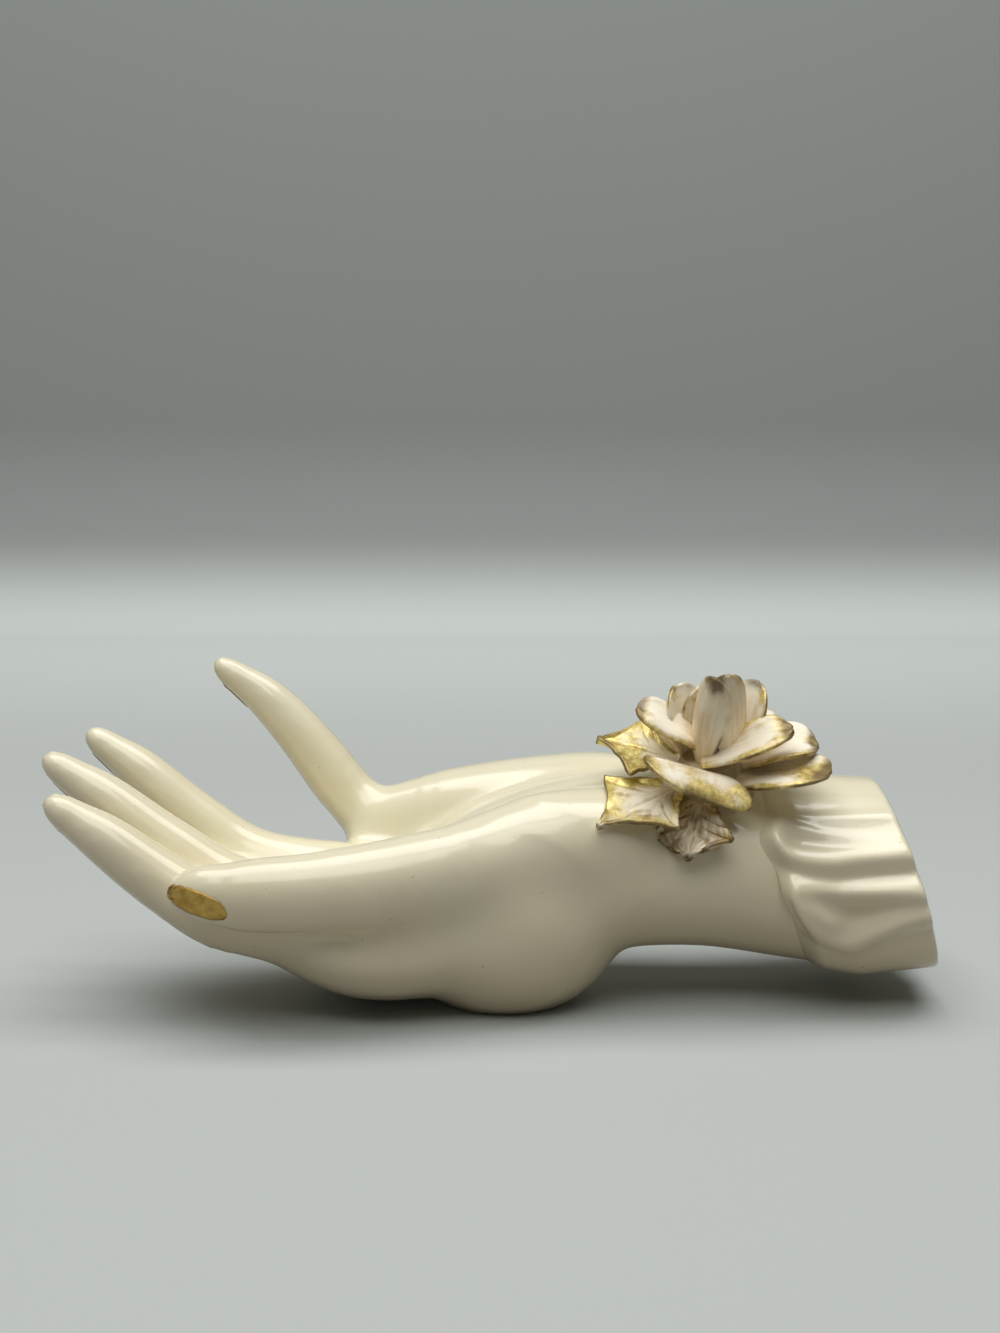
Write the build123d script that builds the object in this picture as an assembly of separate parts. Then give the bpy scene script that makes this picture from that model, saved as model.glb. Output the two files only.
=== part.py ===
from build123d import *
import os
from dataclasses import dataclass
from math import cos, radians, sin, sqrt

# A left hand in glazed earthenware, lying palm up on a rounded foot, with a pleated cuff and a clay rose.
# Millimetres and degrees. The origin is the centre of the flat foot, +X runs from the fingertips to the cuff,
# +Y points away from the thumb and +Z is up.


@dataclass
class Oval:
    """An oval section across the hand."""

    x: float
    y: float
    z: float
    width: float
    depth: float


@dataclass
class Digit:
    """A finger as a chain of four bones with a rounded tip, luted to the palm at its root."""

    name: str
    root: tuple         # where the chain starts, inside the palm
    bones: tuple        # lengths from the root to the last pad
    rises: tuple        # upward angle of each bone
    yaw_root: float     # turn towards the thumb side at the root
    yaw_tip: float      # the same at the tip
    width: float        # across the root
    depth: float        # through the root
    taper: tuple        # section at each joint against the root
    tip: float          # length of the rounded tip
    nail_turn: float    # where the nail sits, round from the back of the hand
    nail_width: float


@dataclass
class Pleat:
    """A fold of the cuff, from its crease round to the next one."""

    crease: float       # angle from the top, round by the thumb side
    height: float       # how far its crown stands above the creases


@dataclass
class Petal:
    """A pressed petal, placed round the rose axis and leaning out from it."""

    name: str
    azimuth: float
    seat_radius: float
    seat_height: float
    lean_root: float
    lean_lip: float
    length: float
    width: float
    cup: float          # how far the sides curl up
    twist: float        # turn of the lip about the spine
    seat_turn: float    # azimuth of the root against that of the lip


@dataclass
class Leaf:
    """A spiny leaf with one point on each side, placed round the rose axis."""

    name: str
    azimuth: float
    seat_height: float
    lean: float
    roll: float
    length: float
    width: float


# Casting
WALL = 4.0                 # slip-cast wall of the hand
LUTE_GAP = 0.2             # film of slip between the wrist and the cuff
SPIGOT_END = 79.0          # where the wrist stops inside the cuff

# Foot
FOOT_LENGTH = 60.0         # of the egg that the foot is cut from, along the hand
FOOT_WIDTH = 52.0
FOOT_DEPTH = 27.5          # half height of the egg
FOOT_RISE = 24.0           # middle of the egg above the flat face
FOOT_TOP = 39.0            # where the egg stops, inside the palm

# Cuff
CUFF_FRONT = 64.5          # gathered edge, at mid height
CUFF_LENGTH = 32.5         # along the wrist
CUFF_TILT = 17.0           # both ends lean towards the hand at the top
CUFF_WALL = 2.6            # at a crease
PLEAT_RISE = 6.0           # length over which the pleats puff up from the gathered edge
GATHER_WALL = 1.4          # at the gathered edge
CUFF_SHOULDER = 1.2        # step inside the cuff that the end of the wrist meets

# Nails
NAIL_THICKNESS = 1.0
NAIL_PROUD = 0.6           # above a straight line from the last joint to the tip
NAIL_REACH = 0.6           # how far along the rounded tip a nail runs

# Rose
ROSE_X = 48.5
ROSE_Y = -1.0
ROSE_LIFT = 2.0            # base of the flower above the wrist
ROSE_LEAN = 20.0           # towards the thumb side
PAD_RADIUS = 15.0
PAD_TOP_RADIUS = 6.5
PAD_SINK = 12.0            # depth of the pad below the base of the flower
PAD_TOP = 3.0              # its top above that
BUD_RADIUS = 3.6
BUD_TOP_RADIUS = 2.8
BUD_HEIGHT = 24.5
BUD_WELL = 7.0             # depth of the open curl in the bud
BUD_WALL = 1.0
PETAL_THICKNESS = 1.1
LEAF_THICKNESS = 1.4
LEAF_ROOT = 7.0            # width of a leaf where it meets the pad
LEAF_SEAT = 6.0            # how far from the rose axis a leaf starts
LEAF_SHOULDER = 0.55       # where the side points stand along a leaf
LEAF_HOLLOW = 0.16         # how deep the edges are scooped between points

# The palm from the knuckles to its middle, and the arm from there through the cuff
MIDPALM = Oval(x=0.0, y=7.0, z=27.0, width=60.0, depth=40.0)
WRIST = Oval(x=48.5, y=10.0, z=33.3, width=52.0, depth=43.4)
PALM = (
    Oval(x=-57.0, y=-1.0, z=23.0, width=32.0, depth=13.0),
    Oval(x=-51.0, y=-1.5, z=21.0, width=47.0, depth=25.0),
    Oval(x=-35.0, y=0.0, z=17.3, width=58.0, depth=33.6),
    Oval(x=-20.0, y=4.0, z=18.5, width=62.0, depth=35.0),
    MIDPALM,
)
ARM = (
    MIDPALM,
    Oval(x=20.0, y=9.0, z=32.0, width=57.0, depth=42.0),
    WRIST,
    Oval(x=78.0, y=10.0, z=28.8, width=51.0, depth=42.4),
    Oval(x=116.0, y=10.0, z=31.0, width=50.0, depth=33.2),
)

# The ball of the thumb and the heel under the little finger
THENAR = (
    Oval(x=-10.0, y=-16.0, z=37.0, width=18.0, depth=19.0),
    Oval(x=8.0, y=-11.5, z=39.4, width=26.0, depth=27.0),
    Oval(x=25.0, y=-5.0, z=39.8, width=28.0, depth=27.0),
    Oval(x=44.0, y=2.0, z=37.0, width=27.0, depth=25.0),
)
HEEL = (
    Oval(x=-41.0, y=32.0, z=34.0, width=10.0, depth=12.0),
    Oval(x=-36.0, y=31.0, z=34.5, width=16.0, depth=19.0),
    Oval(x=-14.0, y=29.0, z=39.3, width=22.0, depth=23.0),
    Oval(x=10.0, y=25.0, z=43.2, width=26.0, depth=24.0),
    Oval(x=28.0, y=20.0, z=44.8, width=27.0, depth=23.0),
    Oval(x=48.0, y=15.0, z=40.0, width=22.0, depth=18.0),
)

# Folds of the cuff, from the top round by the thumb side
PLEATS = (
    Pleat(crease=0, height=0.7),
    Pleat(crease=16, height=0.8),
    Pleat(crease=31, height=0.8),
    Pleat(crease=44, height=2.2),
    Pleat(crease=61, height=2.0),
    Pleat(crease=75, height=2.4),
    Pleat(crease=98, height=1.8),
    Pleat(crease=122, height=2.4),
    Pleat(crease=168, height=1.8),
    Pleat(crease=195, height=2.0),
    Pleat(crease=217, height=1.9),
    Pleat(crease=239, height=2.3),
    Pleat(crease=262, height=2.0),
    Pleat(crease=284, height=1.8),
    Pleat(crease=305, height=1.5),
    Pleat(crease=326, height=1.1),
    Pleat(crease=344, height=0.8),
)

FINGER_TAPER = (1.0, 0.95, 0.85, 0.72, 0.53)
THUMB_TAPER = (1.0, 0.93, 0.78, 0.70, 0.62)
DIGITS = (
    Digit("thumb", root=(5.0, -13.5, 38.2), bones=(29.0, 20.5, 16.1, 4.0), rises=(-6.5, -3.4, -0.8, 2.0),
          yaw_root=20.0, yaw_tip=0.0, width=21.0, depth=24.0, taper=THUMB_TAPER, tip=14.5,
          nail_turn=68.0, nail_width=8.5),
    Digit("index_finger", root=(-34.0, -14.0, 19.5), bones=(28.3, 18.1, 17.6, 9.4), rises=(8.0, 28.6, 37.0, 34.5),
          yaw_root=2.0, yaw_tip=-1.0, width=17.0, depth=17.0, taper=FINGER_TAPER, tip=8.5,
          nail_turn=-35.0, nail_width=6.5),
    Digit("middle_finger", root=(-34.0, 1.0, 20.5), bones=(29.7, 20.1, 19.0, 10.2), rises=(12.6, 32.0, 38.0, 35.0),
          yaw_root=1.0, yaw_tip=0.0, width=17.0, depth=16.4, taper=FINGER_TAPER, tip=8.6,
          nail_turn=-35.0, nail_width=6.5),
    Digit("ring_finger", root=(-30.0, 17.0, 26.0), bones=(30.3, 19.1, 18.1, 9.3), rises=(8.5, 33.3, 41.6, 37.0),
          yaw_root=1.0, yaw_tip=0.0, width=16.4, depth=15.6, taper=FINGER_TAPER, tip=8.1,
          nail_turn=-35.0, nail_width=6.2),
    Digit("little_finger", root=(-26.0, 31.0, 28.0), bones=(24.1, 15.3, 13.3, 9.4), rises=(48.4, 51.6, 47.4, 37.0),
          yaw_root=-10.0, yaw_tip=2.0, width=15.6, depth=15.4, taper=FINGER_TAPER, tip=8.2,
          nail_turn=-35.0, nail_width=5.4),
)

# Petals from the middle outwards, so each is trimmed where it rests on the ones inside it
PETALS = (
    Petal("petal_wrap_left", 226, 2.6, 2.6, 14, -12, 24.3, 9.8, 4.2, 0, 0),
    Petal("petal_wrap_right", 322, 5.0, 3.0, 18, -8, 23.2, 13.0, 3.8, -4, 0),
    Petal("petal_inner_left", 134, 5.5, 2.5, 14, 8, 16.6, 12.0, 2.2, 4, 0),
    Petal("petal_inner_right", 34, 6.0, 2.0, 28, 20, 18.5, 14.0, 2.0, -6, 0),
    Petal("petal_inner_back", 92, 5.0, 1.5, 10, 6, 17.0, 13.0, 3.0, 0, 0),
    Petal("petal_left", 174, 1.5, 6.2, 54, 60, 18.6, 12.0, 1.2, -20, 0),
    Petal("petal_right_front", 356, 5.0, 4.6, 72, 52, 22.6, 13.0, 2.6, 11, -120),
    Petal("petal_front", 253, 6.0, 1.8, 48, 122, 14.0, 27.5, -0.6, -32, 0),
    Petal("petal_right_back", 354, 7.6, 2.4, 64, 80, 18.4, 16.4, 3.2, -18, 10),
    Petal("petal_right_low", 334, 5.6, -1.1, 71, 70, 24.5, 18.0, 1.4, -14, 0),
    Petal("petal_back_right", 52, 6.0, 0.5, 50, 62, 16.0, 18.0, 3.0, 0, 0),
    Petal("petal_back_left", 122, 6.0, 0.5, 46, 58, 15.0, 16.0, 3.0, 0, 0),
)
PETAL_STATIONS = (0.0, 0.3, 0.6, 0.85, 1.0)
PETAL_OUTLINE = (0.34, 0.78, 1.0, 0.82, 0.40)    # half width at each station, against the widest

LEAVES = (
    Leaf("leaf_upper", azimuth=170, seat_height=0.6, lean=76, roll=-4, length=21.5, width=24.0),
    Leaf("leaf_left", azimuth=219, seat_height=-1.5, lean=88, roll=-4, length=29.2, width=25.5),
    Leaf("leaf_lower", azimuth=258, seat_height=-3.1, lean=107, roll=19, length=20.5, width=19.5),
)


def oval_face(plane, width, depth):
    return plane * scale(Circle(0.5), by=(width, depth, 1))


def mass(ovals, grow=0.0):
    """A smooth body through upright oval sections, thickened or thinned all round by grow."""
    faces = []
    for o in ovals:
        plane = Plane(origin=(o.x, o.y, o.z), x_dir=(0, 1, 0), z_dir=(1, 0, 0))
        faces.append(oval_face(plane, o.width + 2 * grow, o.depth + 2 * grow))
    return loft(faces)


def slab(x_from, x_to):
    """All of the space between two upright planes."""
    return Pos((x_from + x_to) / 2, 0, 0) * Box(x_to - x_from, 400, 400)


def lump(shrink=0.0):
    """The rounded foot, an egg that widens upwards into the palm."""
    reach = (FOOT_LENGTH / 2 - shrink, FOOT_WIDTH / 2 - shrink, FOOT_DEPTH - shrink)
    egg = Pos(0, 0, FOOT_RISE) * scale(Sphere(1), by=reach)
    return egg - above(FOOT_TOP - shrink)


def above(z):
    return Pos(0, 0, z + 100) * Box(600, 600, 200)


def hand_outside():
    arm = mass(ARM) & slab(MIDPALM.x, SPIGOT_END)
    body = mass(PALM) + arm + mass(THENAR) + mass(HEEL) + lump()
    return body & above(0)


def hand_hollow():
    """The cast hollow, open at the wrist, one wall inside the palm and the foot."""
    front = mass(PALM[2:], -WALL) & slab(PALM[2].x + WALL, MIDPALM.x)
    arm = mass(ARM, -WALL) & slab(MIDPALM.x, SPIGOT_END + 1)
    return front + arm + (lump(WALL) & above(WALL))


def heading(digit, bone):
    """Direction of one bone, from its rise and its share of the sideways turn."""
    rise = radians(digit.rises[bone])
    turn = bone / (len(digit.bones) - 1)
    yaw = radians(digit.yaw_root + (digit.yaw_tip - digit.yaw_root) * turn)
    return Vector(-cos(rise) * cos(yaw), -cos(rise) * sin(yaw), sin(rise))


def section_plane(point, along):
    """Plane across a digit with its X axis sideways and its Y axis towards the back of the hand."""
    side = along.cross(Vector(0, 0, 1))
    return Plane(origin=point, x_dir=side, z_dir=along)


def digit_sections(digit):
    """Planes and sizes down a digit, root first."""
    point = Vector(*digit.root)
    along = heading(digit, 0)
    sections = [(section_plane(point, along), 1.0)]
    for bone, length in enumerate(digit.bones):
        along = heading(digit, bone)
        point = point + along * length
        bend = along + heading(digit, min(bone + 1, len(digit.bones) - 1))
        sections.append((section_plane(point, bend.normalized()), digit.taper[bone + 1]))
    return sections


def digit_body(digit, grow=0.0):
    """The chain skinned through its joints and closed by half an egg at the tip."""
    faces = []
    for plane, size in digit_sections(digit):
        width = digit.width * size + 2 * grow
        depth = digit.depth * size + 2 * grow
        faces.append(oval_face(plane, width, depth))
    dome = Sphere(0.5) & (Pos(0, 0, 0.5) * Box(1, 1, 1))
    return loft(faces) + plane * scale(dome, by=(width, depth, 2 * (digit.tip + grow)))


def radius_at(digit, size):
    """Radius of a digit under its nail, where the section is the given share of the root."""
    turn = radians(digit.nail_turn)
    half_depth = digit.depth * size / 2
    half_width = digit.width * size / 2
    return 1 / sqrt((cos(turn) / half_depth) ** 2 + (sin(turn) / half_width) ** 2)


def nail_body(digit):
    """A patch of a thin cone that lies on the last joint and runs out over the tip."""
    knuckle, size = digit_sections(digit)[3]
    along = heading(digit, len(digit.bones) - 1)
    length = digit.bones[-1] + digit.tip * NAIL_REACH
    wide = radius_at(digit, size) + NAIL_PROUD
    narrow = radius_at(digit, digit.taper[-1] * sqrt(1 - NAIL_REACH ** 2)) + NAIL_PROUD
    align = (Align.CENTER, Align.CENTER, Align.MIN)
    skin = Cone(wide, narrow, length, align=align)
    skin = skin - Cone(wide - NAIL_THICKNESS, narrow - NAIL_THICKNESS, length, align=align)
    outward = knuckle.y_dir.rotate(Axis((0, 0, 0), along), digit.nail_turn)
    outline = scale(Circle(0.5), by=(length, digit.nail_width, 1))
    plane = Plane(origin=knuckle.origin + along * length / 2, x_dir=along, z_dir=outward)
    return (Plane(origin=knuckle.origin, x_dir=outward * -1, z_dir=along) * skin) & extrude(plane * outline, 2 * wide)


def arm_at(x):
    """Section of the arm at any place along it, between the ovals that it is drawn through."""
    before, after = next(pair for pair in zip(ARM, ARM[1:]) if x <= pair[1].x)
    share = (x - before.x) / (after.x - before.x)
    return Oval(
        x=x,
        y=before.y + (after.y - before.y) * share,
        z=before.z + (after.z - before.z) * share,
        width=before.width + (after.width - before.width) * share,
        depth=before.depth + (after.depth - before.depth) * share,
    )


def pleated_face(x, wall, puffed):
    """Tilted section of the cuff: outward arcs that meet in creases round the wrist."""
    arm = arm_at(x)
    tilt = radians(CUFF_TILT)
    across = arm.width / 2 + wall
    up = arm.depth / 2 / cos(tilt) + wall
    plane = Plane(origin=(x, arm.y, arm.z), x_dir=(0, 1, 0), z_dir=(cos(tilt), 0, sin(tilt)))
    arcs = []
    for k, pleat in enumerate(PLEATS):
        last = k + 1 == len(PLEATS)
        start = radians(90 + pleat.crease)
        end = radians(450 + PLEATS[0].crease if last else 90 + PLEATS[k + 1].crease)
        crown = (start + end) / 2
        height = pleat.height * puffed
        arcs.append(ThreePointArc(
            (across * cos(start), up * sin(start)),
            ((across + height) * cos(crown), (up + height) * sin(crown)),
            (across * cos(end), up * sin(end)),
        ))
    return plane * make_face(arcs)


def cuff_body():
    """The pleated sleeve, bored to slip over the wrist."""
    end = CUFF_FRONT + CUFF_LENGTH
    faces = [
        pleated_face(CUFF_FRONT, GATHER_WALL, 0.3),
        pleated_face(CUFF_FRONT + PLEAT_RISE / 3, CUFF_WALL, 0.8),
        pleated_face(CUFF_FRONT + PLEAT_RISE, CUFF_WALL, 1.0),
        pleated_face(end, CUFF_WALL, 0.8),
    ]
    socket = mass(ARM, LUTE_GAP) & slab(MIDPALM.x, SPIGOT_END + LUTE_GAP)
    mouth = mass((arm_at(SPIGOT_END), ARM[-1]), -CUFF_SHOULDER)
    return loft(faces, ruled=True) - socket - mouth


def rose_frame():
    """Axis of the flower: right, back and up in its own frame."""
    up = Vector(0, 0, 1).rotate(Axis.X, ROSE_LEAN)
    right = Vector(1, 0, 0)
    base = Vector(ROSE_X, ROSE_Y, WRIST.z + WRIST.depth / 2 + ROSE_LIFT)
    return base, right, up.cross(right), up


def spokes(azimuth):
    """Outward and sideways directions at one azimuth of the flower."""
    base, right, back, up = rose_frame()
    angle = radians(azimuth)
    out = right * cos(angle) + back * sin(angle)
    side = back * cos(angle) - right * sin(angle)
    return base, out, side, up


def pad_body():
    base, right, back, up = rose_frame()
    height = PAD_TOP + PAD_SINK
    plane = Plane(origin=base - up * PAD_SINK, x_dir=right, z_dir=up)
    return plane * Cone(PAD_RADIUS, PAD_TOP_RADIUS, height, align=(Align.CENTER, Align.CENTER, Align.MIN))


def bud_body():
    """The rolled centre, a tapered stem with an open curl at its top."""
    base, right, back, up = rose_frame()
    height = BUD_HEIGHT - PAD_TOP
    align = (Align.CENTER, Align.CENTER, Align.MIN)
    stem = Cone(BUD_RADIUS, BUD_TOP_RADIUS, height, align=align)
    well = Pos(0, 0, height - BUD_WELL) * Cone(0.4, BUD_TOP_RADIUS - BUD_WALL, BUD_WELL, align=align)
    return Plane(origin=base + up * PAD_TOP, x_dir=right, z_dir=up) * (stem - well)


def band(plane, half, sag):
    """A thin curved strip, its sides curled up by sag from the middle."""
    inner = half * 0.96
    drop = sag + PETAL_THICKNESS
    edges = [
        ThreePointArc((-half, -sag), (0, 0), (half, -sag)),
        Line((half, -sag), (inner, -drop)),
        ThreePointArc((inner, -drop), (0, -PETAL_THICKNESS), (-inner, -drop)),
        Line((-inner, -drop), (-half, -sag)),
    ]
    return plane * make_face(edges)


def petal_body(petal):
    """Strips set along a spine that bends from the root lean to the lip lean."""
    base, out, side, up = spokes(petal.azimuth)
    seat = spokes(petal.azimuth + petal.seat_turn)[1]
    point = base + seat * petal.seat_radius + up * petal.seat_height
    faces = []
    before = 0.0
    for along, share in zip(PETAL_STATIONS, PETAL_OUTLINE):
        lean = radians(petal.lean_root + (petal.lean_lip - petal.lean_root) * along)
        ahead = out * sin(lean) + up * cos(lean)
        point = point + ahead * petal.length * (along - before)
        before = along
        turned = side.rotate(Axis((0, 0, 0), ahead), petal.twist * along)
        plane = Plane(origin=point, x_dir=turned * -1, z_dir=ahead)
        faces.append(band(plane, petal.width / 2 * share, petal.cup * share ** 2))
    return loft(faces)


def scooped(start, end):
    """An edge between two points of a leaf, scooped towards the midrib."""
    middle_u = (start[0] + end[0]) / 2
    middle_v = (start[1] + end[1]) / 2
    span = sqrt((end[0] - start[0]) ** 2 + (end[1] - start[1]) ** 2)
    inward = -1 if middle_v > 0 else 1
    return ThreePointArc(start, (middle_u, middle_v + inward * span * LEAF_HOLLOW), end)


def leaf_body(leaf):
    base, out, side, up = spokes(leaf.azimuth)
    lean = radians(leaf.lean)
    ahead = out * sin(lean) + up * cos(lean)
    across = side.rotate(Axis((0, 0, 0), ahead), leaf.roll)
    origin = base + out * LEAF_SEAT + up * leaf.seat_height
    plane = Plane(origin=origin, x_dir=ahead, z_dir=ahead.cross(across))
    shoulder = leaf.length * LEAF_SHOULDER
    corners = [
        (0, -LEAF_ROOT / 2),
        (shoulder, -leaf.width / 2),
        (leaf.length, 0),
        (shoulder, leaf.width / 2),
        (0, LEAF_ROOT / 2),
    ]
    edges = [scooped(a, b) for a, b in zip(corners, corners[1:])]
    edges.append(Line(corners[-1], corners[0]))
    return extrude(plane * make_face(edges), LEAF_THICKNESS / 2, both=True)


def largest(shape):
    """The main piece of a trimmed shape, without the crumbs that a trim leaves."""
    return max(shape.solids(), key=lambda solid: solid.volume)


def trimmed(shape, others):
    for other in others:
        shape = shape - other
    return largest(shape)


def digit_pieces(palm):
    """Each digit trimmed to the palm and to the digits before it, with its nail let in."""
    pieces = {}
    bodies = []
    for digit in DIGITS:
        body = digit_body(digit)
        nail = nail_body(digit)
        pieces[digit.name] = trimmed(body, [palm, *bodies, nail])
        pieces[digit.name.replace("_finger", "") + "_nail"] = trimmed(nail, [palm, *bodies])
        bodies.append(body)
    return pieces


def rose_pieces(palm, cuff):
    pad = pad_body()
    pieces = {"rose_pad": trimmed(pad, [palm, cuff]), "rose_bud": largest(bud_body())}
    inside = [pad, palm, cuff, bud_body()]
    for petal in PETALS:
        body = petal_body(petal)
        pieces[petal.name] = trimmed(body, inside)
        inside.append(body)
    for leaf in LEAVES:
        body = leaf_body(leaf)
        pieces[leaf.name] = trimmed(body, inside)
        inside.append(body)
    return pieces


def build():
    palm = hand_outside()
    cuff = largest(cuff_body())
    pieces = {"hand_shell": largest(palm - hand_hollow()), "ruffled_cuff": cuff}
    pieces.update(digit_pieces(palm))
    pieces.update(rose_pieces(palm, cuff))
    return pieces


os.makedirs("parts", exist_ok=True)
for name, shape in build().items():
    export_step(shape, f"parts/{name}.step")
    print(f"{name}: {shape.volume / 1000:.2f} cm3")
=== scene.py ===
# %% [markdown]
# # A glazed hand with a rose, dressed for its portrait
# The CAD model gives the true sizes and places of every piece of this ceramic ornament: the cast palm, the
# digits, the pleated cuff and the hand-pressed rose. Here each piece gets the surface that fire and glaze
# give it. We start by loading the CAD pieces, because everything below is laid over them in the same frame.

# %% Load the CAD frame
import math

import bmesh
import bpy
from mathutils import Matrix, Vector, noise
from mathutils.bvhtree import BVHTree


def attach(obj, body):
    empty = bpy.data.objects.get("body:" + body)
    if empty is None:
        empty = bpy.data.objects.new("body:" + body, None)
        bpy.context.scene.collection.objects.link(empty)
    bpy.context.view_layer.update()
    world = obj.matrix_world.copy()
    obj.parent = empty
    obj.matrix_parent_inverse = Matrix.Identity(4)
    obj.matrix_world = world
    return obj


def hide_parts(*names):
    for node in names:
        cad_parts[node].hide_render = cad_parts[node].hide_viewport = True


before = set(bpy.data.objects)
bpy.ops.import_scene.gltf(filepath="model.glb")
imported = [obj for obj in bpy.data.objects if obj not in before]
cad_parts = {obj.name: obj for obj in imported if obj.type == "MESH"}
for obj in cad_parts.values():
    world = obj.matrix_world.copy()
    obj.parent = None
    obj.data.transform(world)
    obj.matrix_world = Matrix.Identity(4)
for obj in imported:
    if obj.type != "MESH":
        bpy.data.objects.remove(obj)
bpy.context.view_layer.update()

MM = 0.001

# %% [markdown]
# ## Helpers for the clay
# A sculptor blocks a hand out in rolls of clay and then smooths them together. We can do the same: each roll
# is a tube through a few oval sections. Blender can draw a ring with `create_circle` and join two rings with
# `bridge_loops`, so a tube needs only a list of sections. `glide` adds smooth in-between sections, in the way
# that a flexible ruler passes through pins.

# %% Tubes through oval sections
RING_POINTS = 40
# how far out along a dome its rings lie, as shares of its reach
DOME_SHARES = (0.3, 0.55, 0.75, 0.89, 0.97)


def glide(rows, steps):
    """Rows of numbers with smooth in-between rows."""
    rows = [Vector(row) for row in rows]
    padded = [2 * rows[0] - rows[1], *rows, 2 * rows[-1] - rows[-2]]
    out = []
    for a, b, c, d in zip(padded, padded[1:], padded[2:], padded[3:]):
        for k in range(steps):
            t = k / steps
            bend = (2 * a - 5 * b + 4 * c - d) * t ** 2 + (3 * b - a - 3 * c + d) * t ** 3
            out.append(0.5 * (2 * b + (c - a) * t + bend))
    return out + [rows[-1]]


def rounded(rows, reach):
    """The same rows, closed by a dome past the last one."""
    last = rows[-1]
    ahead = (Vector(last[:3]) - Vector(rows[-2][:3])).normalized()
    dome = []
    for share in DOME_SHARES:
        centre = Vector(last[:3]) + ahead * reach * share
        dome.append(Vector((*centre, *(Vector(last[3:]) * math.sqrt(1 - share ** 2)))))
    return rows + dome


def ring_edges(verts):
    return list({edge for vert in verts for edge in vert.link_edges})


def ring_matrix(row, ahead):
    """Place of an oval section: its X axis sideways, its Y axis up, its Z axis along the tube."""
    side = Vector((0, 0, 1)).cross(ahead).normalized()
    up = ahead.cross(side)
    turn = Matrix((side, up, ahead)).transposed().to_4x4()
    return Matrix.Translation(row[:3]) @ turn @ Matrix.Diagonal((row[3] / 2, row[4] / 2, 1, 1))


def add_tube(bm, rows):
    """A closed tube through rows of x, y, z, width and depth in millimetres."""
    centres = [Vector(row[:3]) for row in rows]
    rings = []
    for k, row in enumerate(rows):
        ahead = (centres[min(k + 1, len(rows) - 1)] - centres[max(k - 1, 0)]).normalized()
        made = bmesh.ops.create_circle(bm, segments=RING_POINTS, radius=1, matrix=ring_matrix(row, ahead))
        rings.append(ring_edges(made["verts"]))
    for near, far in zip(rings, rings[1:]):
        bmesh.ops.bridge_loops(bm, edges=near + far)
    bmesh.ops.edgeloop_fill(bm, edges=rings[0])
    bmesh.ops.edgeloop_fill(bm, edges=rings[-1])


def to_metres(bm):
    bmesh.ops.scale(bm, vec=(MM, MM, MM), verts=bm.verts)


def finish_mesh(bm, name):
    """Puts a bmesh into a new object at the origin."""
    for face in bm.faces:
        face.smooth = True
    mesh = bpy.data.meshes.new(name)
    bm.to_mesh(mesh)
    bm.free()
    piece = bpy.data.objects.new(name, mesh)
    bpy.context.scene.collection.objects.link(piece)
    return piece


print("ring of", RING_POINTS, "points")

# %% [markdown]
# ## The hand
# On the real piece the palm is cast hollow and the digits are luted on with slip, then the joins are sponged
# smooth and the glaze runs over them, so no seam shows. A row of separate CAD solids can't look like that.
# So we heap up the rolls first: the palm, the balls of the thumb and of the hand, the egg that becomes the
# foot, and each digit as a chain of bones that rise and turn a little at every joint.

# %% Rolls of the palm, the balls and the digits
ROLL_STEPS = 6
# x, y, z, width and depth of the sections, in millimetres
PALM = [(-58, -1, 23, 30, 12), (-51, -1.5, 21.8, 47, 23.4), (-35, 0, 18.2, 58, 31.8),
        (-20, 4, 19.1, 62, 33.8), (0, 7, 27, 60, 40), (20, 9, 32, 57, 42),
        (48.5, 10, 33.3, 52, 43.4), (78, 10, 28.8, 51, 42.4), (90, 10, 29.5, 50.6, 39.5)]
THENAR = [(-12, -16, 37, 18, 20), (8, -11.5, 39.4, 26, 27), (25, -5, 39.8, 28, 27), (44, 2, 37, 27, 25)]
HEEL = [(-36, 31, 34.5, 16, 19), (-14, 29, 39.3, 22, 23), (10, 25, 43.2, 26, 24), (28, 20, 44.8, 27, 23),
        (48, 15, 40, 22, 18)]
FOOT = dict(length=60, width=52, depth=27.5, rise=24, top=39)
# a ball of clay between the ring and the little finger: x, y, z and radius
WEBS = [(-34.5, 27.5, 33, 6.0)]
FINGER_TAPER = (1.0, 0.95, 0.85, 0.72, 0.53)
THUMB_TAPER = (1.0, 0.93, 0.78, 0.70, 0.62)
DIGITS = {
    "thumb": dict(root=(5, -13.5, 38.2), bones=(29, 20.5, 16.1, 4), rises=(-6.5, -3.4, -0.8, 2),
                  yaws=(20, 0), width=21, depth=24, taper=THUMB_TAPER, tip=14.5),
    "index": dict(root=(-34, -14, 19.5), bones=(28.3, 18.1, 17.6, 9.4), rises=(8, 28.6, 37, 34.5),
                  yaws=(2, -1), width=17, depth=17, taper=FINGER_TAPER, tip=8.5),
    "middle": dict(root=(-34, 1, 20.5), bones=(29.7, 20.1, 19, 10.2), rises=(12.6, 32, 38, 35),
                   yaws=(1, 0), width=17, depth=16.4, taper=FINGER_TAPER, tip=8.6),
    "ring": dict(root=(-30, 17, 26), bones=(30.3, 19.1, 18.1, 9.3), rises=(8.5, 33.3, 41.6, 37),
                 yaws=(1, 0), width=16.4, depth=15.6, taper=FINGER_TAPER, tip=8.1),
    "little": dict(root=(-26, 31, 28), bones=(24.1, 15.3, 13.3, 9.4), rises=(48.4, 51.6, 47.4, 37),
                   yaws=(-10, 2), width=15.6, depth=15.4, taper=FINGER_TAPER, tip=8.2),
}


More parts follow.
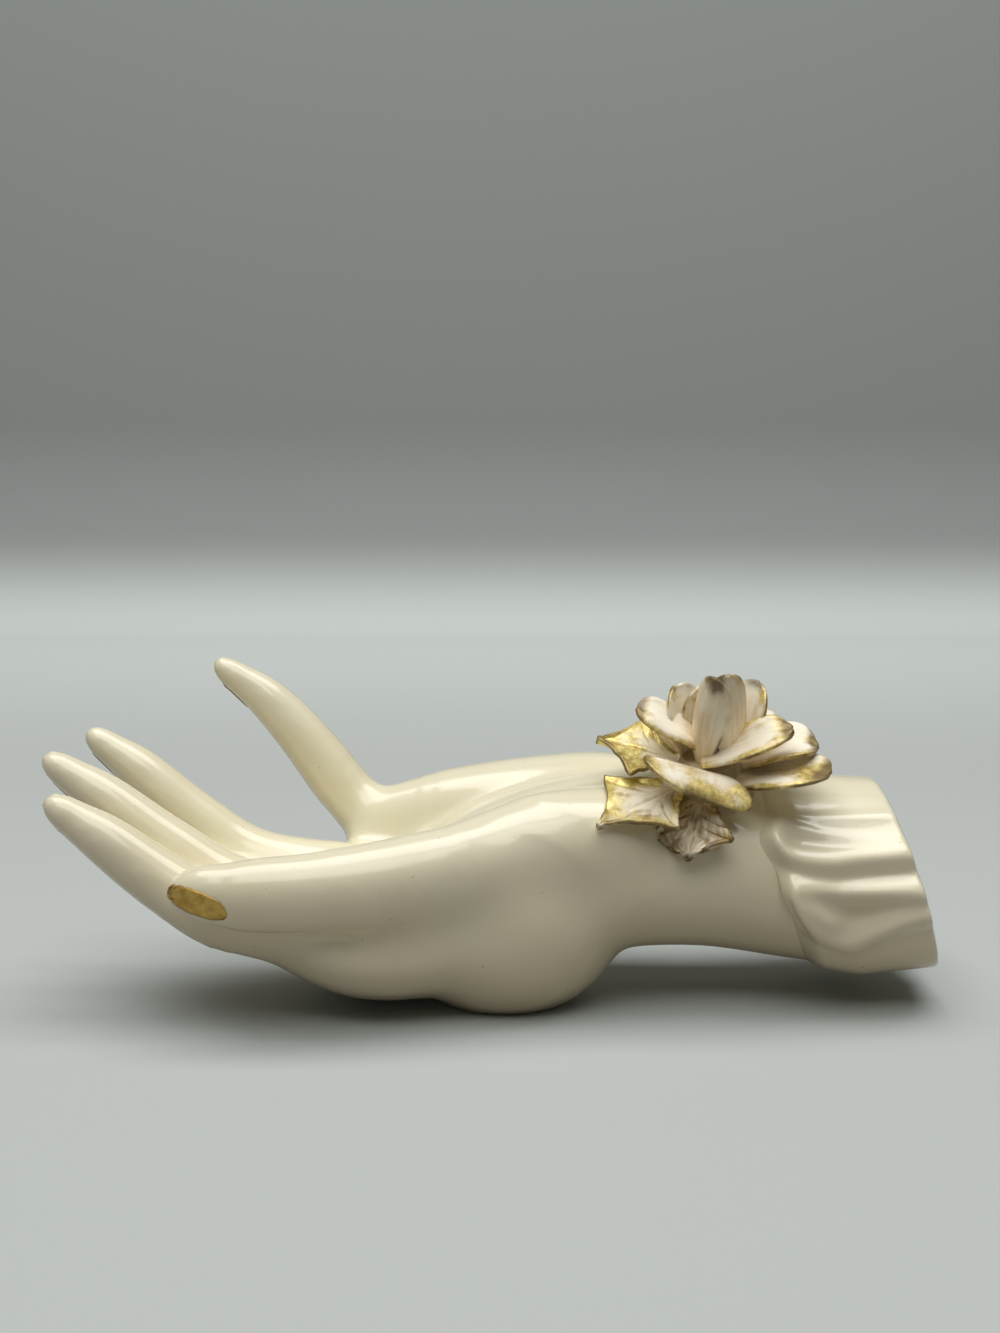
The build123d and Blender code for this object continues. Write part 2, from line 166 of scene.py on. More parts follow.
def digit_rows(digit):
    """Sections of a digit, from its root in the palm along its four bones."""
    point = Vector(digit["root"])
    rows = [(*point, digit["width"], digit["depth"])]
    last = len(digit["bones"]) - 1
    for k, (length, rise) in enumerate(zip(digit["bones"], digit["rises"])):
        rise = math.radians(rise)
        yaw = math.radians(digit["yaws"][0] + (digit["yaws"][1] - digit["yaws"][0]) * k / last)
        ahead = Vector((-math.cos(rise) * math.cos(yaw), -math.cos(rise) * math.sin(yaw), math.sin(rise)))
        point = point + ahead * length
        size = digit["taper"][k + 1]
        rows.append((*point, digit["width"] * size, digit["depth"] * size))
    return rows


def add_egg(bm, shrink, bottom):
    """The egg that the foot is cut from, stopped at the bottom and inside the palm."""
    half = (FOOT["length"] / 2 - shrink, FOOT["width"] / 2 - shrink, FOOT["depth"] - shrink)
    place = Matrix.Translation((0, 0, FOOT["rise"])) @ Matrix.Diagonal((*half, 1))
    made = bmesh.ops.create_uvsphere(bm, u_segments=48, v_segments=24, radius=1, matrix=place)
    for vert in made["verts"]:
        vert.co.z = min(vert.co.z, FOOT["top"] - shrink)
        if bottom:
            vert.co.z = max(vert.co.z, bottom)


clay = bmesh.new()
for rows in (PALM, THENAR, HEEL):
    add_tube(clay, glide(rows, ROLL_STEPS))
for digit in DIGITS.values():
    add_tube(clay, rounded(glide(digit_rows(digit), ROLL_STEPS), digit["tip"]))
add_egg(clay, 0, 0)
for x, y, z, radius in WEBS:
    bmesh.ops.create_icosphere(clay, subdivisions=3, radius=radius, matrix=Matrix.Translation((x, y, z)))
to_metres(clay)
bmesh.ops.recalc_face_normals(clay, faces=clay.faces)
rolls = finish_mesh(clay, "hand_rolls")
print("rolls:", len(rolls.data.vertices), "points")

# %% [markdown]
# ## Sponging the joins
# Booleans would keep a sharp crease wherever two rolls meet. A voxel remesh keeps only the outside of the heap
# as one even net of points, and `smooth_vert` relaxes that net, which is what a wet sponge does to clay. A few
# places, such as the root of the thumb, get more of it.

# %% Merge the rolls and sponge the joins
VOXEL = 1.0 * MM
SPONGE_PASSES = 14
# the inner part of each place, which gets the second half of its passes
SPONGE_CORE = 0.75
# places that get more of the sponge: x, y, z, radius and passes
SPONGED = [(-30, 30, 40, 17, 30), (30, -14, 47, 22, 30), (0, -22, 24, 30, 80), (28, 0, 14, 22, 30),
           (-28, -6, 4, 20, 20), (-22, -24, 34, 17, 30), (-52, -15, 13, 17, 50)]


def merged(piece, voxel):
    """The outside of a heap of clay as one bmesh, and the heap is cleared away."""
    merge = piece.modifiers.new("merge", "REMESH")
    merge.mode = "VOXEL"
    merge.voxel_size = voxel
    remeshed = piece.evaluated_get(bpy.context.evaluated_depsgraph_get())
    bm = bmesh.new()
    bm.from_mesh(bpy.data.meshes.new_from_object(remeshed))
    bpy.data.objects.remove(piece)
    return bm


def sponge(bm, verts, passes):
    for _ in range(passes):
        bmesh.ops.smooth_vert(bm, verts=verts, factor=0.5, use_axis_x=True, use_axis_y=True, use_axis_z=True)


skin = merged(rolls, VOXEL)
sponge(skin, skin.verts, SPONGE_PASSES)
for x, y, z, radius, passes in SPONGED:
    spot = Vector((x, y, z)) * MM
    for reach in (radius * MM, radius * SPONGE_CORE * MM):
        sponge(skin, [v for v in skin.verts if (v.co - spot).length < reach], passes // 2)
print("merged skin:", len(skin.verts), "points")

# %% [markdown]
# ## The flat foot and the cast hollow
# The foot is ground flat so the hand stands, and the casting is hollow: the slip was poured out at the wrist.
# `bisect_plane` cuts the skin at the table and at the wrist. The hollow is a core of its own, the palm and the
# egg again but thinner by the wall, merged in the same way. Turned inside out and cut at the same plane, it
# becomes the lining, and `bridge_loops` joins the two rims into one closed wall of clay.

# %% Cut the foot flat and line the hollow
WALL = 4
SPIGOT_END = 79
CORE_STEPS = 5
CORE_VOXEL = 1.5 * MM
CORE_PASSES = 6


def cut(bm, point, keep):
    """Cuts the mesh with a plane, keeps the side that `keep` points to and returns the rim."""
    geom = bm.verts[:] + bm.edges[:] + bm.faces[:]
    made = bmesh.ops.bisect_plane(bm, geom=geom, plane_co=point, plane_no=keep, clear_inner=True)
    return [item for item in made["geom_cut"] if isinstance(item, bmesh.types.BMEdge)]


def cut_wrist(bm):
    cut(bm, (SPIGOT_END * MM, 0, 0), Vector((-1, 0, 0)))


bmesh.ops.edgeloop_fill(skin, edges=cut(skin, (0, 0, 0), Vector((0, 0, 1))))
cut_wrist(skin)
inner = [(x, y, z, width - 2 * WALL, depth - 2 * WALL) for x, y, z, width, depth in PALM[2:]]
inner[0] = (inner[0][0] + WALL, *inner[0][1:])
core = bmesh.new()
add_tube(core, glide(inner, CORE_STEPS))
add_egg(core, WALL, WALL)
to_metres(core)
bmesh.ops.recalc_face_normals(core, faces=core.faces)
lining = merged(finish_mesh(core, "hollow_core"), CORE_VOXEL)
sponge(lining, lining.verts, CORE_PASSES)
cut_wrist(lining)
bmesh.ops.reverse_faces(lining, faces=lining.faces)
hold = bpy.data.meshes.new("lining")
lining.to_mesh(hold)
lining.free()
skin.from_mesh(hold)
bpy.data.meshes.remove(hold)
bmesh.ops.bridge_loops(skin, edges=[edge for edge in skin.edges if edge.is_boundary])
open_edges = sum(1 for edge in skin.edges if not edge.is_manifold)
bmesh.ops.recalc_face_normals(skin, faces=skin.faces)
hand = finish_mesh(skin, "hand_skin")
print("hand skin:", len(hand.data.polygons), "faces, open edges:", open_edges)

# %% [markdown]
# ## The cuff
# The cuff is a band of clay gathered round the wrist. Its folds are pouches: a rim runs in from the trimmed
# end, turns back in a round nose at the gathered edge and runs out again. A cloth simulation would not know
# these folds, and straight ridges can't turn back. We draw each rim as a stroke on the unrolled band, with its
# own width and heights.

# %% Strokes on the unrolled band
CUFF_FRONT = 64.5
CUFF_LENGTH = 33.3
# millimetres round the band for each degree
DEGREE = 0.46
STROKE_STEPS = 3


def smooth_strokes(strokes):
    return [(width, glide(points, STROKE_STEPS)) for width, points in strokes]


# width in millimetres, then points that the stroke glides through: share of the length, angle from the top, height
RIMS = smooth_strokes([
    (15.0, [(0.0, 0, 1.0), (1.0, 0, 1.2)]),
    (2.2, [(0.1, 10, 0.2), (1.0, 7, 0.6)]),
    (2.2, [(0.1, 25, 0.2), (1.0, 21, 0.7)]),
    (2.2, [(0.15, 44, 0.4), (0.5, 42, 1.0), (1.0, 37, 0.8)]),
    (2.4, [(1.0, 57, 0.4), (0.64, 56, 0.8), (0.42, 53, 1.2), (0.24, 51.5, 1.9), (0.15, 54.5, 2.6),
           (0.125, 60.5, 3.0)]),
    (4.2, [(0.125, 58, 2.8), (0.14, 65.5, 3.2), (0.24, 69.5, 3.3), (0.4, 69, 3.2), (0.63, 66.5, 2.6),
           (1.0, 64, 2.0)]),
    (4.0, [(1.0, 88, 2.2), (0.59, 84.5, 2.7), (0.34, 83, 2.8), (0.09, 85, 3.2), (0.05, 92, 3.4), (0.08, 103, 3.4),
           (0.18, 112, 3.2), (0.34, 115.5, 3.1), (0.5, 111, 3.0), (0.7, 105, 2.7), (0.86, 102, 2.4), (1.0, 102, 2.1)]),
    (5.5, [(0.09, 90, 3.0), (0.16, 97, 3.2), (0.22, 102, 3.0)]),
    (10.0, [(0.12, 134, 1.7), (0.3, 132, 2.4), (0.6, 134, 2.7), (1.0, 141, 2.9)]),
    (3.0, [(1.0, 184, 1.8), (0.5, 182, 2.0), (0.16, 183, 2.2), (0.06, 192, 2.4), (0.14, 203, 2.3), (0.5, 206, 2.1),
           (1.0, 208, 1.5)]),
    (3.0, [(1.0, 224, 1.8), (0.5, 224, 2.2), (0.15, 226, 2.4), (0.05, 235, 2.5), (0.12, 246, 2.4), (0.5, 250, 2.2),
           (1.0, 254, 1.5)]),
    (2.8, [(1.0, 270, 1.8), (0.5, 271, 2.2), (0.13, 272, 2.4), (0.05, 281, 2.4), (0.12, 291, 2.2), (0.5, 294, 1.8),
           (1.0, 298, 1.2)]),
    (2.6, [(0.1, 316, 1.4), (0.5, 313, 1.6), (1.0, 311, 1.2)]),
    (2.4, [(0.15, 337, 0.6), (1.0, 340, 0.9)]),
])
GROOVES = smooth_strokes([
    (2.4, [(0.0, 77, 0.9), (0.3, 77.5, 1.3), (0.6, 76, 1.4), (1.0, 73, 1.2)]),
    (1.8, [(0.2, 57.5, 0.3), (0.5, 58.5, 0.35), (0.8, 60, 0.2)]),
    (3.0, [(0.33, 95, 0.7), (0.44, 97, 1.4), (0.58, 96.5, 1.1), (0.8, 94.5, 0.5)]),
])


def stroke_height(stroke, angle, along):
    """Height of one stroke at a place on the unrolled band."""
    width, points = stroke
    best = 0.0
    for (s0, a0, h0), (s1, a1, h1) in zip(points, points[1:]):
        a0 = (a0 - angle + 180) % 360 - 180
        a1 = (a1 - angle + 180) % 360 - 180
        if min(abs(a0), abs(a1)) * DEGREE > 3 * width:
            continue
        start = Vector(((s0 - along) * CUFF_LENGTH, a0 * DEGREE))
        run = Vector(((s1 - s0) * CUFF_LENGTH, (a1 - a0) * DEGREE))
        share = min(max(-start.dot(run) / run.length_squared, 0), 1)
        away = (start + run * share).length
        best = max(best, (h0 + (h1 - h0) * share) * math.exp(-(away / width) ** 2))
    return best


print("cuff strokes:", len(RIMS), "rims and", len(GROOVES), "grooves")

# %% [markdown]
# ## Gathering the band
# Each ring of the cuff is an oval of the wrist, tilted like the trimmed end, and `puff` says how far every one
# of its points stands off the wrist. The outer rings run from the gathered edge to the trimmed end, and a few
# plain ones run back inside, so bridging each ring to the next closes the band. The sponge takes the last
# sharpness off the folds.

# %% Gather the cuff
CUFF_TILT = math.radians(17)
CUFF_RINGS = 76
CUFF_CROWDING = 1.3
CUFF_POINTS = 300
CUFF_PASSES = 7
# the gathered edge starts inside the wrist, and the plain band is this thick
CUFF_SEAT = -0.5
CUFF_BODY = 2.8
# the share of the length where the trimmed end begins to round in, and by how much
END_START = 0.94
END_ROUNDING = 1.3
# the inside keeps a small gap to the wrist and tucks in at the gathered edge
BORE_RINGS = 6
BORE_GAP = 0.25
BORE_TUCK = 1.25
# the noses of the two front pouches: reach over the wrist in millimetres, angle and spread in degrees
NOSES = [(3.0, 60, 13), (1.2, 92, 12)]
# the arm's section past the end of the palm's rows
ARM_END = (116, 10, 31, 50, 33.2)


def ease(low, high, value):
    t = min(max((value - low) / (high - low), 0), 1)
    return t * t * (3 - 2 * t)


def bell(value, middle, spread):
    return math.exp(-((value - middle) / spread) ** 2)


def nose(angle, along):
    """How far the band reaches over the wrist, in millimetres."""
    reach = sum(height * bell(angle, middle, spread) for height, middle, spread in NOSES)
    return reach * (1 - ease(0.0, 0.45, along))


def puff(angle, along):
    """How far the outside of the cuff stands off the wrist, in millimetres."""
    lip = ease(-0.04, 0.16 - 0.08 * bell(angle, 97, 18), along)
    end = math.sqrt(max(1 - max((along - END_START) / (1 - END_START), 0) ** 2, 0))
    rims = sum(stroke_height(rim, angle, along) ** 3 for rim in RIMS) ** (1 / 3)
    dips = sum(stroke_height(groove, angle, along) for groove in GROOVES)
    return CUFF_SEAT + (CUFF_BODY + rims - dips) * lip - END_ROUNDING * (1 - end)


def bore_gap(angle, along):
    """How far the inside of the cuff stands off the wrist, in millimetres."""
    return BORE_GAP - BORE_TUCK * (1 - ease(0, 0.3, along))


def arm_section(x):
    """Centre and sizes of the wrist at one place along it."""
    near, far = (PALM[6], PALM[7]) if x < PALM[7][0] else (PALM[7], ARM_END)
    t = (x - near[0]) / (far[0] - near[0])
    return [a + (b - a) * t for a, b in zip(near, far)]


def cuff_ring(bm, along, offset):
    """One tilted ring round the arm, each point pushed out by offset."""
    x, y, z, width, depth = arm_section(CUFF_FRONT + CUFF_LENGTH * along)
    verts = bmesh.ops.create_circle(bm, segments=CUFF_POINTS, radius=1)["verts"]
    for vert in verts:
        angle = math.degrees(math.atan2(-vert.co.x, vert.co.y))
        out = offset(angle, along)
        across = (width / 2 + out) * vert.co.x
        up = (depth / 2 / math.cos(CUFF_TILT) + out) * vert.co.y
        vert.co = (x - up * math.sin(CUFF_TILT) - nose(angle, along), y + across, z + up * math.cos(CUFF_TILT))
    return ring_edges(verts)


cuff_bm = bmesh.new()
cuff_rings = [cuff_ring(cuff_bm, (k / (CUFF_RINGS - 1)) ** CUFF_CROWDING, puff) for k in range(CUFF_RINGS)]
cuff_rings += [cuff_ring(cuff_bm, 1 - k / (BORE_RINGS - 1), bore_gap) for k in range(BORE_RINGS)]
for near, far in zip(cuff_rings, cuff_rings[1:] + cuff_rings[:1]):
    bmesh.ops.bridge_loops(cuff_bm, edges=near + far)
to_metres(cuff_bm)
sponge(cuff_bm, cuff_bm.verts, CUFF_PASSES)
bmesh.ops.recalc_face_normals(cuff_bm, faces=cuff_bm.faces)
cuff = finish_mesh(cuff_bm, "cuff_folds")
print("cuff:", len(cuff.data.polygons), "faces")

# %% [markdown]
# ## The rose's own frame
# The rose leans towards the viewer, so its pieces are easier to place in a frame that leans with it. An azimuth
# runs round the bud from the right, and `spokes` turns it into an outward and a sideways direction.

# %% Directions round the rose
ROSE_BASE = Vector((48.5, -1.0, 57.0))
ROSE_LEAN = math.radians(20)
ROSE_UP = Vector((0, -math.sin(ROSE_LEAN), math.cos(ROSE_LEAN)))
ROSE_RIGHT = Vector((1, 0, 0))
ROSE_BACK = ROSE_UP.cross(ROSE_RIGHT)


def spokes(azimuth):
    """Outward and sideways directions at an azimuth of the rose."""
    angle = math.radians(azimuth)
    out = ROSE_RIGHT * math.cos(angle) + ROSE_BACK * math.sin(angle)
    side = ROSE_BACK * math.cos(angle) - ROSE_RIGHT * math.sin(angle)
    return out, side


print("rose stands at", ROSE_BASE[:])

# %% [markdown]
# ## The petals
# Each petal is a pinch of clay pressed thin, cupped, and leaned out from the bud, with its rim rolled back.
# `create_grid` gives a flat sheet with a UV map, and one formula bends it: the spine leans further and further
# out, the sides curl up, and the last stretch rolls over. The UV map stays on the petal, so the gilding can
# find the rim later. Solidify gives the sheet its thickness.

# %% Press the petals
PETAL_THICKNESS = 1.2 * MM
PETAL_COLUMNS, PETAL_ROWS = 22, 26
# where a petal is widest, along its length
PETAL_BELLY = 0.6
# azimuth, seat radius, seat height, lean at the root, lean at the lip, length, width, cup, twist, roll of the rim,
# turn of the seat, skew of the lip
PETALS = {
    "petal_wrap_left": (232, 3.6, 2.6, 12, -12, 24.3, 9.4, 4.4, 0, 0.2, 0, 2.3),
    "petal_wrap_right": (298, 4.8, 3.0, 6, -6, 24.0, 11.2, 3.6, 0, 0.5, 35, -2.4),
    "petal_inner_left": (134, 5.5, 0.4, 20, 12, 18.4, 14.0, 2.2, 4, 0.8, 0, 0),
    "petal_inner_right": (34, 6.0, 2.0, 28, 20, 18.5, 14.0, 2.0, -6, 0.8, 0, 0),
    "petal_inner_back": (92, 5.0, 1.5, 10, 6, 17.0, 13.0, 3.0, 0, 0.6, 0, 0),
    "petal_left": (174, 1.5, 6.2, 54, 60, 18.6, 11.0, 1.2, -20, 1.6, 0, 0),
    "petal_right_front": (356, 5.0, 4.6, 72, 52, 22.6, 13.0, 2.6, 11, 1.6, -120, 0),
    "petal_front": (253, 6.0, 1.8, 48, 122, 14.0, 27.5, -0.6, -32, 0.4, 0, 0),
    "petal_right_back": (354, 7.6, 1.8, 64, 80, 18.4, 19.0, 3.2, -6, 1.2, 10, 0),
    "petal_right_low": (334, 5.6, -0.9, 71, 70, 24.5, 18.0, 1.4, -2, 1.4, 0, 0),
    "petal_back_right": (52, 6.0, 0.5, 50, 62, 16.0, 18.0, 3.0, 0, 1.2, 0, 0),
    "petal_back_left": (122, 6.0, 0.5, 46, 58, 15.0, 16.0, 3.0, 0, 1.2, 0, 0),
}


def new_sheet(columns, rows):
    """A flat sheet from -1 to 1 each way, with a UV map called rim."""
    bm = bmesh.new()
    bm.loops.layers.uv.new("rim")
    bmesh.ops.create_grid(bm, x_segments=columns, y_segments=rows, size=1, calc_uvs=True)
    return bm


def thicken(piece, thickness, offset=0, soft=False):
    """Gives a sheet its thickness, and round edges where it is soft."""
    thick = piece.modifiers.new("thickness", "SOLIDIFY")
    thick.thickness = thickness
    thick.offset = offset
    if soft:
        smoother = piece.modifiers.new("soft", "SUBSURF")
        smoother.levels = smoother.render_levels = 1
    return piece


def petal_half_width(share):
    """Outline of a petal, from its narrow root to its round lip, against its half width."""
    if share < PETAL_BELLY:
        return 0.34 + 0.66 * math.sin(share / PETAL_BELLY * math.pi / 2)
    return max(1 - ((share - PETAL_BELLY) / (1 - PETAL_BELLY)) ** 2.4, 0) ** 0.5


def press_petal(name, spec):
    azimuth, seat_radius, seat_height, lean_root, lean_lip, length, width, cup, twist, roll, seat_turn, skew = spec
    out, side = spokes(azimuth)
    seat = spokes(azimuth + seat_turn)[0]
    bm = new_sheet(PETAL_COLUMNS, PETAL_ROWS)
    spine = [ROSE_BASE + seat * seat_radius + ROSE_UP * seat_height]
    frames = []
    for k in range(PETAL_ROWS + 1):
        share = k / PETAL_ROWS
        lean = math.radians(lean_root + (lean_lip - lean_root) * share)
        ahead = out * math.sin(lean) + ROSE_UP * math.cos(lean)
        under = out * math.cos(lean) - ROSE_UP * math.sin(lean)
        turn = Matrix.Rotation(math.radians(twist) * share, 3, ahead)
        frames.append((spine[-1], turn @ side, turn @ under))
        spine.append(spine[-1] + ahead * length / PETAL_ROWS)
    for vert in bm.verts:
        across, share = vert.co.x, (vert.co.y + 1) / 2
        point, sideways, under = frames[min(round(share * PETAL_ROWS), PETAL_ROWS)]
        half = max(petal_half_width(share), 0.06) * width / 2
        rim = max(abs(across) ** 3, ease(0.55, 1.0, share) ** 2)
        wave = 0.35 * noise.noise(Vector((across * 1.7, share * 2.3, azimuth * 0.37)))
        sag = cup * (half / (width / 2)) ** 2 * across ** 2
        aside = half * across + skew * share ** 2
        vert.co = point + sideways * aside - under * (sag - wave * 2 * share - roll * rim ** 2)
    to_metres(bm)
    return thicken(finish_mesh(bm, name + "_clay"), PETAL_THICKNESS, soft=True)


petals = {name: press_petal(name, spec) for name, spec in PETALS.items()}
print("petals:", len(petals))

# %% [markdown]
# ## The bud
# The middle of the rose is one strip of clay rolled into a cone, so its top shows a dark curl. A `spin` of a
# slanted line gives such a roll when it also climbs outwards; here a grid is wound round the axis instead,
# because the strip has to open a little as it turns.

# %% Roll the bud
BUD_HEIGHT = 24.0
BUD_FOOT = 1.0
BUD_DROP = 2.2
BUD_TURNS = 1.6
BUD_START = 240
BUD_THICKNESS = 0.8 * MM


def roll_bud():
    bm = new_sheet(60, 18)
    for vert in bm.verts:
        wind, share = (vert.co.x + 1) / 2, (vert.co.y + 1) / 2
        radius = (1.2 + 2.6 * wind) * (1.1 - 0.45 * share) + 0.8 * share ** 3 * wind
        top = BUD_HEIGHT - BUD_DROP * wind
        height = BUD_FOOT + (top - BUD_FOOT) * share
        out = spokes(BUD_START + 360 * BUD_TURNS * wind)[0]
        vert.co = ROSE_BASE + out * radius + ROSE_UP * height
    to_metres(bm)
    return thicken(finish_mesh(bm, "rose_bud_roll"), BUD_THICKNESS, soft=True)


bud = roll_bud()
print("bud:", len(bud.data.polygons), "faces")

# %% [markdown]
# ## The leaves
# Three spiny leaves lie under the rose, scooped between their points like holly. The sheet is again a grid;
# its outline is narrowed row by row, and the veins are pressed in with a fan of shallow grooves. Soft clay
# would settle on the wrist, so each point that would sink into the skin is lifted clear of it.

# %% Cut the leaves
LEAF_THICKNESS = 1.0 * MM
LEAF_CLEARANCE = 1.0 * MM
LEAF_SEAT = 6.0
LEAF_ROOT = 3.5
# the part at the root that isn't draped, because it is stuck under the rose
LEAF_STUCK = 0.2
LEAF_VEINS = 6
# how far the veins run forward on their way out to the edge
VEIN_SLANT = 1.6
# azimuth, seat height, lean, roll, length, width, droop of the tip, scoop of the edges, place of the side points,
# crinkle
LEAVES = {
    "leaf_upper": (170, 0.6, 76, -4, 21.5, 24.0, 1.0, 1.5, 0.55, 1.0),
    "leaf_left": (219, -1.5, 90, -4, 29.2, 25.5, 1.0, 1.5, 0.55, 1.0),
    "leaf_lower": (253, -3.0, 106, 12, 19.6, 21.0, 2.0, 1.0, 0.74, 2.6),
}
skin_tree = BVHTree.FromObject(hand, bpy.context.evaluated_depsgraph_get())


def leaf_half_width(share, half, scoop, shoulder):
    """Half width along a leaf: out to the side points at the shoulder, then in to the tip."""
    if share < shoulder:
        return LEAF_ROOT + (half - LEAF_ROOT) * (share / shoulder) ** 2.2
    return half * ((1 - share) / (1 - shoulder)) ** scoop + 0.25


def draped(point):
    """The same point, lifted clear of the skin where it would sink into it."""
    spot, normal, _, _ = skin_tree.find_nearest(point)
    height = (point - spot).dot(normal)
    return point + normal * max(LEAF_CLEARANCE - height, 0)


def cut_leaf(name, spec):
    azimuth, seat_height, lean, roll, length, width, droop, scoop, shoulder, crinkle = spec
    out, side = spokes(azimuth)
    lean = math.radians(lean)
    ahead = out * math.sin(lean) + ROSE_UP * math.cos(lean)
    across_axis = Matrix.Rotation(math.radians(roll), 3, ahead) @ side
    face = ahead.cross(across_axis)
    origin = ROSE_BASE + out * LEAF_SEAT + ROSE_UP * seat_height
    bm = new_sheet(48, 56)
    for vert in bm.verts:
        across, share = vert.co.x, (vert.co.y + 1) / 2
        ragged = 1 + 0.06 * crinkle * noise.noise(Vector((round(across), share * 9, azimuth)))
        half = leaf_half_width(share, width / 2, scoop, shoulder) * ragged
        rib = math.exp(-(across * half / 0.45) ** 2)
        vein = 0.5 + 0.5 * math.cos(2 * math.pi * (share * LEAF_VEINS - abs(across) * VEIN_SLANT))
        frill = 0.5 * noise.noise(Vector((across * 2.2, share * 5.0, azimuth * 0.1))) * abs(across)
        folds = 0.5 * vein ** 3 * abs(across) * (1 - 0.5 * share)
        lift = 1.2 * across ** 2 - droop * share ** 2 - 0.55 * rib + crinkle * (frill - folds)
        flat = origin + ahead * length * share + across_axis * half * across + face * lift
        vert.co = draped(flat * MM) if share > LEAF_STUCK else flat * MM
    return thicken(finish_mesh(bm, name + "_clay"), LEAF_THICKNESS)


leaves = {name: cut_leaf(name, spec) for name, spec in LEAVES.items()}
print("leaves:", len(leaves))

# %% [markdown]
# ## The gilded nails
# The nails are painted on in gold lustre over a slightly raised bed. A patch is drawn flat, with rounded corners,
# dropped onto the glazed skin with a nearest-point search, and lifted by a hair so that it sits on the glaze.

# %% Lay the nails on the digits
NAIL_LIFT = 0.25 * MM
NAIL_THICKNESS = 0.4 * MM
# more of the thickness lies under the patch than over it
NAIL_SINK = -0.6
NAIL_ROUNDING = 0.4
# where the nail starts on the last bone, its length, width, its turn from the back of the hand and its slant
NAILS = {
    "thumb": (3.2, 23.0, 8.0, 88, -17),
    "index": (2.0, 11.5, 6.5, -35, 0),
    "middle": (2.0, 12.0, 6.5, -35, 0),
    "ring": (2.0, 11.5, 6.2, -35, 0),
    "little": (2.0, 10.5, 5.4, -35, 0),
}


def lay_nail(name, spec):
    start, length, width, turn, slant = spec
    rows = digit_rows(DIGITS[name])
    joint, end = Vector(rows[-2][:3]), Vector(rows[-1][:3])
    ahead = (end - joint).normalized()
    back = ahead.cross(ahead.cross(Vector((0, 0, 1)))).normalized()
    outward = Matrix.Rotation(math.radians(turn), 3, ahead) @ back
    centre = joint + ahead * (start + length / 2) + outward * rows[-1][4] * 0.5
    ahead = Matrix.Rotation(math.radians(slant), 3, outward) @ ahead
    side = outward.cross(ahead)
    bm = new_sheet(24, 24)
    for vert in bm.verts:
        u, v = vert.co.x, vert.co.y
        round_u = u * math.sqrt(1 - NAIL_ROUNDING * v * v)
        round_v = v * math.sqrt(1 - NAIL_ROUNDING * u * u)
        flat = (centre + ahead * round_v * length / 2 + side * round_u * width / 2) * MM
        spot, normal, _, _ = skin_tree.find_nearest(flat)
        edge = 1 - max(abs(u), abs(v)) ** 6
        vert.co = spot + normal * NAIL_LIFT * edge
    return thicken(finish_mesh(bm, name + "_nail_gilt"), NAIL_THICKNESS, NAIL_SINK)


nails = {name: lay_nail(name, spec) for name, spec in NAILS.items()}
print("nails:", len(nails))

# %% [markdown]
# ## Shader arithmetic
# A finish is a small calculation at every point of the surface. Writing it as Python keeps it readable: this
# class wraps a socket, and each operator adds the Math node that does it.

# %% A socket that can be added and multiplied


class Value:
    """A node socket with arithmetic."""

    def __init__(self, paint, socket):
        self.paint = paint
        self.socket = socket

    def _math(self, operation, first, second):
        return self.paint.node("ShaderNodeMath", {"operation": operation}, {0: first, 1: second})

    def __add__(self, other):
        return self._math("ADD", self, other)

    def __radd__(self, other):
        return self._math("ADD", other, self)

    def __sub__(self, other):
        return self._math("SUBTRACT", self, other)

    def __rsub__(self, other):
        return self._math("SUBTRACT", other, self)

    def __mul__(self, other):
        return self._math("MULTIPLY", self, other)

    def biggest(self, other):
        return self._math("MAXIMUM", self, other)

    def size(self):
        return self._math("ABSOLUTE", self, 0.0)

    def wave(self):
        """A cosine with one crest for each whole number."""
        return self._math("COSINE", self * (2 * math.pi), 0.0)

    def fade(self, low, high):
        """0 below low, 1 above high, smooth between."""
        settings = {"interpolation_type": "SMOOTHSTEP"}
        return self.paint.node("ShaderNodeMapRange", settings, {"Value": self, "From Min": low, "From Max": high})


print("values can be added, multiplied and faded")

# %% [markdown]
# ## A pot of paint
# A material is a tree of nodes. `Paint` makes every node through one method, so a finish below is only a few
# lines: some noise, some distance from a rim, and the colours between them. The same class can hold the nodes
# of the world, which light the room.

# %% Materials


